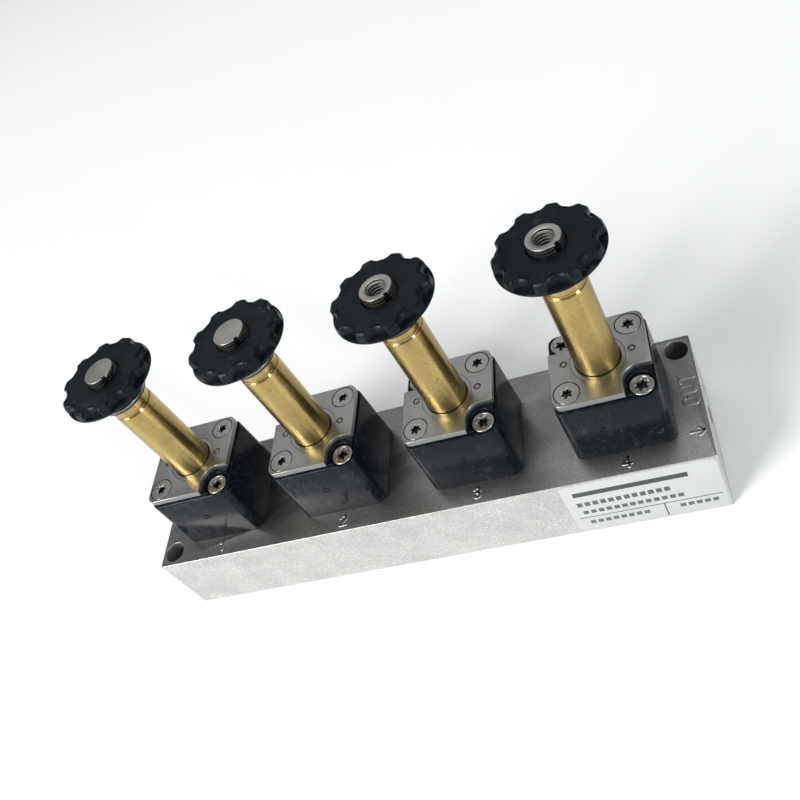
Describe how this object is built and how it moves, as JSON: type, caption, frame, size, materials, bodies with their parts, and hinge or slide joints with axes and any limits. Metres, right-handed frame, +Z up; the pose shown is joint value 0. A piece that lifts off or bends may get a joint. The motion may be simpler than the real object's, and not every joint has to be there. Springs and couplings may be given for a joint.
{
  "type": "solenoid pilot valve manifold",
  "caption": "Rectangular aluminium air manifold with a row of moulded pilot valves, each with a brass armature tube, threaded stem and fluted coil nut.",
  "frame": {"origin": "middle of the block's underside", "axes": "+X along the block to its outlet end, +Y to the back, +Z up along the armature tubes"},
  "size_m": [0.187, 0.0451, 0.1016],
  "materials": {
    "block_aluminium": "satin cast and machined",
    "label_film": "satin",
    "rubber_black": "matte",
    "seat_brass": "satin",
    "collar_steel": "satin",
    "ring_copper": "satin copper",
    "screw_steel": "satin",
    "cap_screw_steel": "satin",
    "body_plastic": "moulded",
    "plate_steel": "satin nickel",
    "tube_brass": "satin drawn",
    "core_steel": "turned stainless",
    "armature_steel": "ground stainless",
    "spring_steel": "drawn wire",
    "washer_steel": "bright",
    "nut_plastic": "moulded"
  },
  "bodies": {
    "manifold_assembly": {"manifold_block": "block_aluminium", "rating_label": "label_film", "base_gaskets": "rubber_black", "valve_seats": "seat_brass", "tube_o_rings": "rubber_black", "tube_collars": "collar_steel", "shading_rings": "ring_copper", "plate_screws": "screw_steel", "body_screws": "cap_screw_steel", "valve_body_1": "body_plastic", "valve_body_2": "body_plastic", "valve_body_3": "body_plastic", "valve_body_4": "body_plastic", "retaining_plate_1": "plate_steel", "retaining_plate_2": "plate_steel", "retaining_plate_3": "plate_steel", "retaining_plate_4": "plate_steel", "armature_tube_1": "tube_brass", "armature_tube_2": "tube_brass", "armature_tube_3": "tube_brass", "armature_tube_4": "tube_brass", "fixed_core_1": "core_steel", "fixed_core_2": "core_steel", "fixed_core_3": "core_steel", "fixed_core_4": "core_steel", "return_spring_1": "spring_steel", "return_spring_2": "spring_steel", "return_spring_3": "spring_steel", "return_spring_4": "spring_steel"},
    "washer_body_1": {"nut_washer_1": "washer_steel", "nut_seal_1": "rubber_black"},
    "nut_body_1": {"coil_nut_1": "nut_plastic"},
    "armature_body_1": {"armature_1": "armature_steel", "armature_seal_1": "rubber_black"},
    "washer_body_2": {"nut_washer_2": "washer_steel", "nut_seal_2": "rubber_black"},
    "nut_body_2": {"coil_nut_2": "nut_plastic"},
    "armature_body_2": {"armature_2": "armature_steel", "armature_seal_2": "rubber_black"},
    "washer_body_3": {"nut_washer_3": "washer_steel", "nut_seal_3": "rubber_black"},
    "nut_body_3": {"coil_nut_3": "nut_plastic"},
    "armature_body_3": {"armature_3": "armature_steel", "armature_seal_3": "rubber_black"},
    "washer_body_4": {"nut_washer_4": "washer_steel", "nut_seal_4": "rubber_black"},
    "nut_body_4": {"coil_nut_4": "nut_plastic"},
    "armature_body_4": {"armature_4": "armature_steel", "armature_seal_4": "rubber_black"}
  },
  "joints": [
    {"name": "nut_turn_1", "type": "hinge", "parent": "washer_body_1", "child": "nut_body_1", "pos_m": [-0.0684, 0, 0.095], "axis": [0, 0, 1], "range_deg": [0, 2521]},
    {"name": "nut_lift_1", "type": "slide", "parent": "manifold_assembly", "child": "washer_body_1", "axis": [0, 0, 1], "range_m": [0, 0.007]},
    {"name": "armature_lift_1", "type": "slide", "parent": "manifold_assembly", "child": "armature_body_1", "axis": [0, 0, 1], "range_m": [0, 0.0008], "stiffness_N_per_m": 300, "springref_m": -0.006, "deforming": ["return_spring_1"]},
    {"name": "nut_turn_2", "type": "hinge", "parent": "washer_body_2", "child": "nut_body_2", "pos_m": [-0.0224, 0, 0.095], "axis": [0, 0, 1], "range_deg": [0, 2521]},
    {"name": "nut_lift_2", "type": "slide", "parent": "manifold_assembly", "child": "washer_body_2", "axis": [0, 0, 1], "range_m": [0, 0.007]},
    {"name": "armature_lift_2", "type": "slide", "parent": "manifold_assembly", "child": "armature_body_2", "axis": [0, 0, 1], "range_m": [0, 0.0008], "stiffness_N_per_m": 300, "springref_m": -0.006, "deforming": ["return_spring_2"]},
    {"name": "nut_turn_3", "type": "hinge", "parent": "washer_body_3", "child": "nut_body_3", "pos_m": [0.0236, 0, 0.095], "axis": [0, 0, 1], "range_deg": [0, 2521]},
    {"name": "nut_lift_3", "type": "slide", "parent": "manifold_assembly", "child": "washer_body_3", "axis": [0, 0, 1], "range_m": [0, 0.007]},
    {"name": "armature_lift_3", "type": "slide", "parent": "manifold_assembly", "child": "armature_body_3", "axis": [0, 0, 1], "range_m": [0, 0.0008], "stiffness_N_per_m": 300, "springref_m": -0.006, "deforming": ["return_spring_3"]},
    {"name": "nut_turn_4", "type": "hinge", "parent": "washer_body_4", "child": "nut_body_4", "pos_m": [0.0696, 0, 0.095], "axis": [0, 0, 1], "range_deg": [0, 2521]},
    {"name": "nut_lift_4", "type": "slide", "parent": "manifold_assembly", "child": "washer_body_4", "axis": [0, 0, 1], "range_m": [0, 0.007]},
    {"name": "armature_lift_4", "type": "slide", "parent": "manifold_assembly", "child": "armature_body_4", "axis": [0, 0, 1], "range_m": [0, 0.0008], "stiffness_N_per_m": 300, "springref_m": -0.006, "deforming": ["return_spring_4"]}
  ],
  "couplings": [
    {"joint": "nut_turn_1", "follows": "nut_lift_1", "rad_per_m": 6283.2},
    {"joint": "nut_turn_2", "follows": "nut_lift_2", "rad_per_m": 6283.2},
    {"joint": "nut_turn_3", "follows": "nut_lift_3", "rad_per_m": 6283.2},
    {"joint": "nut_turn_4", "follows": "nut_lift_4", "rad_per_m": 6283.2}
  ]
}
